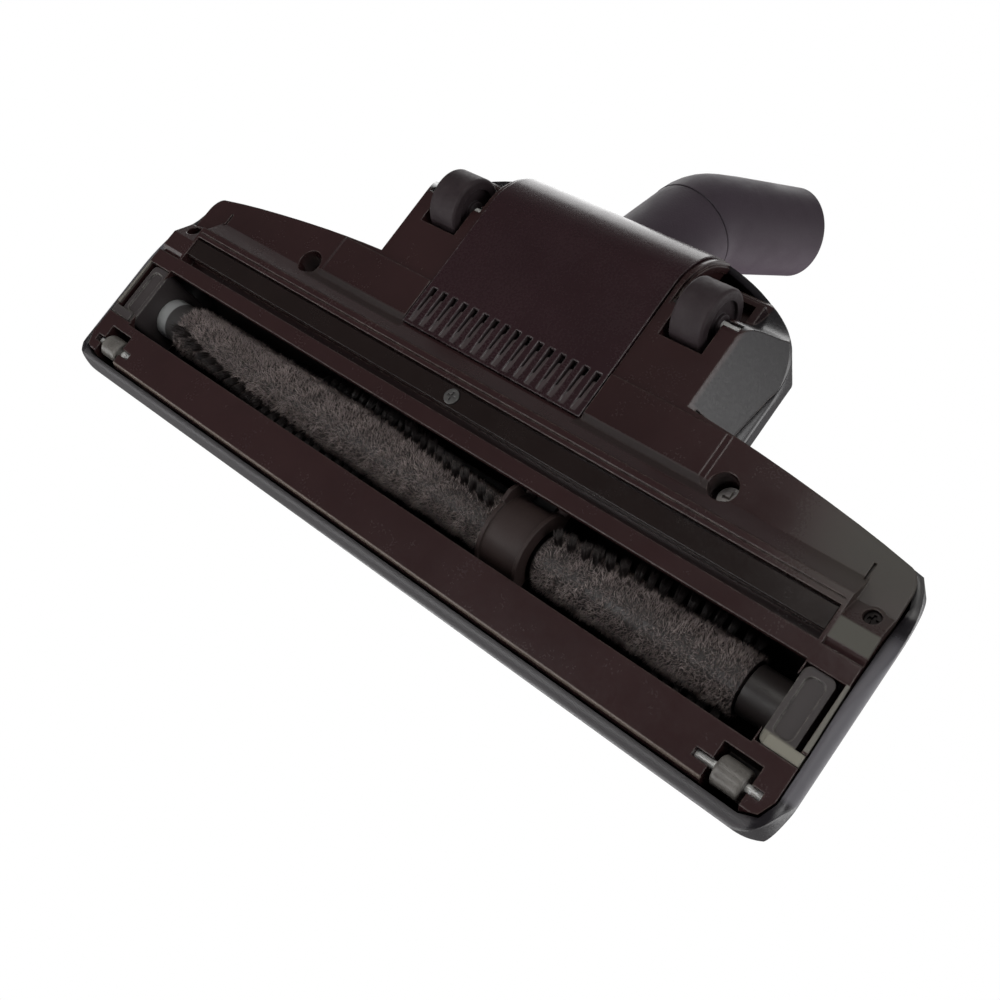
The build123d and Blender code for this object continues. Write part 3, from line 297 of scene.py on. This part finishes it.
DRESS = {
    "lower_housing": SOLE, "upper_housing": SHELL, "turbine_cover": COVER, "sole_strip": STRIP,
    "strip_screw": SCREW, "housing_screws": SCREW_DEEP, "end_screws": SCREW_DARK,
    "bearing_block_left": BLOCK, "bearing_block_right": BLOCK,
    "brush_bush_left": BUSH_CREAM, "brush_bush_right": BUSH_DARK, "belt_guard": GUARD,
    "brush_shaft": PIN, "brush_core_long": CORE, "brush_core_short": CORE, "brush_pulley": INNER,
    "brush_bristles_long": TUFT, "brush_bristles_short": TUFT, "drive_belt": BELT,
    "turbine_shaft": PIN, "turbine_wheel": INNER, "turbine_pulley": INNER, "turbine_shroud": INNER,
    "turbine_bearing_left": BRASS, "turbine_bearing_right": BRASS, "air_nozzle": INNER,
    "rear_wheel_left": WHEEL, "rear_wheel_right": WHEEL, "rear_axle_left": PIN, "rear_axle_right": PIN,
    "front_roller_left": ROLLER, "front_roller_right": ROLLER, "front_axle_left": PIN, "front_axle_right": PIN,
    "neck": ELBOW, "elbow": ELBOW, "neck_lock_ring": INNER, "elbow_seal": SEAL,
}
for node, ob in NODES.items():
    mat = DRESS[node]
    if not ob.data.materials:
        ob.data.materials.append(mat)
    for i in range(len(ob.material_slots)):
        ob.material_slots[i].material = mat


# ------------------------------------------------------------------ brush: nap and bristle tufts
def needles(name, root, tip, width, tone0, tone1, mid=None):
    """Closed three-sided needles in one mesh. root, tip and mid are (n, 3); width is (n,)."""
    n = len(root)
    d = tip - root
    d /= np.linalg.norm(d, axis=1)[:, None]
    ref = np.where(np.abs(d[:, :1]) > 0.8, np.array([[0.0, 1.0, 0.0]]), np.array([[1.0, 0.0, 0.0]]))
    u = np.cross(d, ref)
    u /= np.linalg.norm(u, axis=1)[:, None]
    v = np.cross(d, u)
    rings, tones = [], []
    stations = [(root, 1.0, tone0)] + ([(mid, 0.85, 0.5 * (tone0 + tone1))] if mid is not None else [])
    for p, w, t in stations:
        for k in range(3):
            a = 2 * math.pi * k / 3
            rings.append(p + (u * math.cos(a) + v * math.sin(a)) * (0.5 * width * w)[:, None])
            tones.append(t)
    rings.append(tip)
    tones.append(tone1)
    per = len(rings)
    verts = np.stack(rings, axis=1).reshape(-1, 3)
    tone = np.stack(tones, axis=1).reshape(-1)
    local = [(0, 2, 1)]
    top = 3 * (len(stations) - 1)
    for s in range(len(stations) - 1):
        for k in range(3):
            a, c = 3 * s + k, 3 * s + (k + 1) % 3
            local += [(a, c, c + 3), (a, c + 3, a + 3)]
    for k in range(3):
        local.append((top + k, top + (k + 1) % 3, per - 1))
    local = np.array(local)
    faces = (local[None, :, :] + (np.arange(n) * per)[:, None, None]).reshape(-1, 3)
    me = bpy.data.meshes.new(name)
    me.vertices.add(len(verts))
    me.vertices.foreach_set("co", verts.astype(np.float32).ravel())
    me.loops.add(len(faces) * 3)
    me.loops.foreach_set("vertex_index", faces.astype(np.int32).ravel())
    me.polygons.add(len(faces))
    me.polygons.foreach_set("loop_start", np.arange(0, len(faces) * 3, 3, dtype=np.int32))
    me.update(calc_edges=True)
    me.validate()
    at = me.attributes.new("tone", "FLOAT", "POINT")
    at.data.foreach_set("value", tone.astype(np.float32))
    ob = bpy.data.objects.new(name, me)
    SCENE.collection.objects.link(ob)
    return ob


def ring_point(x, ang, r):
    return np.stack([x, BRUSH_Y + r * np.cos(ang), BRUSH_Z + r * np.sin(ang)], axis=1)


def nap(name, x0, x1, per_mm2, seed):
    """Short soft fibres all over the core, combed slightly along the turning direction and clumped."""
    rng = np.random.default_rng(seed)
    count = int(per_mm2 * (x1 - x0) * 1e3 * 2 * math.pi * CORE_R * 1e3)
    x = rng.uniform(x0, x1, count)
    a = rng.uniform(0, 2 * math.pi, count)
    clump = 0.5 + 0.5 * np.sin(a * 3 + x * 420 + 1.3 * np.sin(x * 260 + a * 2))
    reach = 0.0011 + 0.0010 * rng.random(count) + 0.0005 * clump
    lean = rng.normal(0.05, 0.10, count) + 0.06 * np.sin(x * 700 + a * 4)
    slide = rng.normal(0.0, 0.0007, count)
    root = ring_point(x, a, np.full(count, CORE_R - 0.0001))
    xt = np.clip(x + slide, x0, x1)
    tip = ring_point(xt, a + lean, CORE_R + reach)
    width = rng.uniform(0.00014, 0.00026, count)
    dark = np.clip(rng.normal(0.25, 0.10, count), 0, 1)
    pale = np.clip(0.45 + 0.35 * clump + rng.normal(0, 0.16, count), 0, 1)
    return needles(name, root, tip, width, dark, pale)


def tufts(name, x0, x1, rows, twist, first, pitch, hairs, seed):
    """Bristle tufts in helical rows, each tuft a bundle that opens towards its tips."""
    rng = np.random.default_rng(seed)
    roots, tips, mids, w, t0, t1 = [], [], [], [], [], []
    n = int(round((x1 - x0 - 0.004) / pitch))
    for row in range(rows):
        for i in range(n + 1):
            x = x0 + 0.002 + (x1 - x0 - 0.004) * i / n
            ang = math.radians(first + 360.0 * row / rows + twist * (x - x0) / (x1 - x0))
            jx, ja = rng.normal(0, 0.00025), rng.normal(0, 0.02)
            r = 0.0011 * np.sqrt(rng.random(hairs))
            q = rng.uniform(0, 2 * math.pi, hairs)
            du, dv = r * np.cos(q), r * np.sin(q)
            length = TIP_R - 0.0004 - 0.0009 * rng.random(hairs) ** 2
            spread = rng.uniform(1.25, 1.9)
            base = np.full(hairs, CORE_R - 0.0002)
            middle = 0.5 * (base + length)
            bend = rng.normal(0, 0.03) + rng.normal(0, 0.012, hairs)
            roots.append(ring_point(x + jx + du, ang + ja + dv / CORE_R, base))
            mids.append(ring_point(np.clip(x + jx + du * 0.5 * (1 + spread), x0, x1), ang + ja + dv / CORE_R + 0.35 * bend, middle))
            tips.append(ring_point(np.clip(x + jx + du * spread, x0, x1), ang + ja + dv / CORE_R * 1.1 + bend, length))
            w.append(rng.uniform(0.00022, 0.00034, hairs))
            shade = rng.uniform(0.10, 0.45)
            t0.append(np.clip(rng.normal(shade * 0.6, 0.06, hairs), 0, 1))
            t1.append(np.clip(rng.normal(shade + 0.25, 0.12, hairs), 0, 1))
    j = np.concatenate
    return needles(name, j(roots), j(tips), j(w), j(t0), j(t1), j(mids))


for side, x0, x1, twist, first, seed in (("long", -0.0345, 0.1298, 145.0, -71.0, 11), ("short", -0.1298, -0.0585, -65.0, 2.0, 23)):
    fibre = nap("brush_nap_" + side, x0 - 0.002, x1 + 0.0015, 3.4, seed)
    fibre.data.materials.append(NAP)
    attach(fibre, "brush")
    tuft = tufts("brush_tufts_" + side, x0, x1, 2, twist, first, 0.0046, 60, seed + 1)
    tuft.data.materials.append(TUFT)
    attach(tuft, "brush")
    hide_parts("brush_bristles_" + side)


# ------------------------------------------------------------------ floor
def floor_material():
    """Pale floor that shows only from above and fades out into the backdrop."""
    m = bpy.data.materials.new("floor_pale")
    m.use_nodes = True
    nt = m.node_tree
    nt.nodes.clear()
    out = nt.nodes.new("ShaderNodeOutputMaterial")
    mix = nt.nodes.new("ShaderNodeMixShader")
    geo = nt.nodes.new("ShaderNodeNewGeometry")
    dif = nt.nodes.new("ShaderNodeBsdfDiffuse")
    see = nt.nodes.new("ShaderNodeBsdfTransparent")
    dif.inputs["Color"].default_value = (0.24, 0.24, 0.238, 1.0)
    own = nt.nodes.new("ShaderNodeEmission")
    own.inputs["Color"].default_value = (0.66, 0.66, 0.655, 1.0)
    both = nt.nodes.new("ShaderNodeAddShader")
    nt.links.new(dif.outputs[0], both.inputs[0])
    nt.links.new(own.outputs[0], both.inputs[1])
    far = nt.nodes.new("ShaderNodeVectorMath")
    far.operation = "LENGTH"
    nt.links.new(coords(nt), far.inputs[0])
    fade = remap(nt, far.outputs["Value"], 0.7, 2.6, 0.0, 1.0)
    nt.links.new(math_node(nt, "MAXIMUM", geo.outputs["Backfacing"], fade), mix.inputs[0])
    nt.links.new(both.outputs[0], mix.inputs[1])
    nt.links.new(see.outputs[0], mix.inputs[2])
    nt.links.new(mix.outputs[0], out.inputs[0])
    return m


me = bpy.data.meshes.new("floor")
s = 6.0
me.from_pydata([(-s, -s, 0), (s, -s, 0), (s, s, 0), (-s, s, 0)], [], [(0, 1, 2, 3)])
floor = bpy.data.objects.new("floor", me)
floor.location = (0, 0, -0.0003)
me.materials.append(floor_material())
SCENE.collection.objects.link(floor)
floor.visible_shadow = False
floor.visible_diffuse = False
floor.visible_glossy = False
floor.visible_transmission = False

# ------------------------------------------------------------------ camera, below the sole as in the photograph
RIGHT = Vector((-0.73234, 0.58280, 0.35216))
UP = Vector((0.45835, 0.80437, -0.37802))
BACK = Vector((-0.50358, -0.11543, -0.85620))
EYE = Vector((-0.219861, -0.061610 + Y_SHIFT, -0.307116))
cam = bpy.data.cameras.new("camera")
cam.sensor_width = 36.0
cam.lens = 41.4
cam.clip_start = 0.01
cam.clip_end = 50.0
eye = bpy.data.objects.new("camera", cam)
SCENE.collection.objects.link(eye)
mw = Matrix.Identity(4)
for i in range(3):
    mw[i][0], mw[i][1], mw[i][2], mw[i][3] = RIGHT[i], UP[i], BACK[i], EYE[i]
eye.matrix_world = mw
SCENE.camera = eye


# ------------------------------------------------------------------ light
def softbox(name, toward, distance, size, power, colour=(1, 1, 1), target=(0, 0, 0.02)):
    lamp = bpy.data.lights.new(name, "AREA")
    lamp.shape = "RECTANGLE"
    lamp.size, lamp.size_y = size
    lamp.energy = power
    lamp.color = colour
    ob = bpy.data.objects.new(name, lamp)
    d = Vector(toward).normalized()
    ob.location = Vector(target) + d * distance
    ob.rotation_euler = d.to_track_quat("Z", "Y").to_euler()
    ob.visible_camera = False
    SCENE.collection.objects.link(ob)
    return ob


softbox("key_below", (-0.08, 0.35, -0.93), 1.1, (0.42, 0.38), 2.0, (1.0, 0.99, 0.95))
softbox("front_below", (0.30, -0.48, -0.82), 0.85, (0.4, 0.4), 1.7)
softbox("side_below", (-0.93, 0.12, -0.35), 1.3, (0.6, 0.6), 3.4)
softbox("front_low", (0.50, -0.83, -0.27), 1.25, (1.2, 0.5), 4.4)
softbox("top_panel", (0.15, -0.62, 0.77), 1.3, (1.4, 0.35), 2.6)
softbox("over_panel", (-0.65, 0.15, 0.75), 1.3, (1.8, 1.4), 8.0)
softbox("rim_above", (0.55, 0.75, 0.45), 1.5, (1.3, 1.2), 10.0)
softbox("key_above", (-0.35, -0.55, 0.80), 1.4, (0.9, 0.9), 18.0).visible_glossy = False

world = bpy.data.worlds.new("studio")
SCENE.world = world
world.use_nodes = True
nt = world.node_tree
nt.nodes.clear()
out = nt.nodes.new("ShaderNodeOutputWorld")
mix = nt.nodes.new("ShaderNodeMixShader")
seen = nt.nodes.new("ShaderNodeBackground")
lit = nt.nodes.new("ShaderNodeBackground")
path = nt.nodes.new("ShaderNodeLightPath")
tc = nt.nodes.new("ShaderNodeTexCoord")
sep = nt.nodes.new("ShaderNodeSeparateXYZ")
seen.inputs["Color"].default_value = (1, 1, 1, 1)
seen.inputs["Strength"].default_value = 1.0
lit.inputs["Strength"].default_value = 1.0
nt.links.new(tc.outputs["Generated"], sep.inputs[0])
# dim below, pale at the level of the floor, dim again overhead
sky = [(0.0, 0.080), (0.25, 0.085), (0.43, 0.20), (0.53, 0.32), (0.68, 0.32), (0.88, 0.12), (1.0, 0.10)]
height = nt.nodes.new("ShaderNodeMapRange")
height.inputs["From Min"].default_value = -1.0
nt.links.new(sep.outputs["Z"], height.inputs["Value"])
nt.links.new(ramp(nt, height.outputs["Result"], [(p, (v, v * 0.985, v * 0.98)) for p, v in sky]), lit.inputs["Color"])
nt.links.new(path.outputs["Is Camera Ray"], mix.inputs[0])
nt.links.new(lit.outputs[0], mix.inputs[1])
nt.links.new(seen.outputs[0], mix.inputs[2])
nt.links.new(mix.outputs[0], out.inputs[0])

SCENE.view_settings.view_transform = "Standard"
SCENE.view_settings.look = "None"
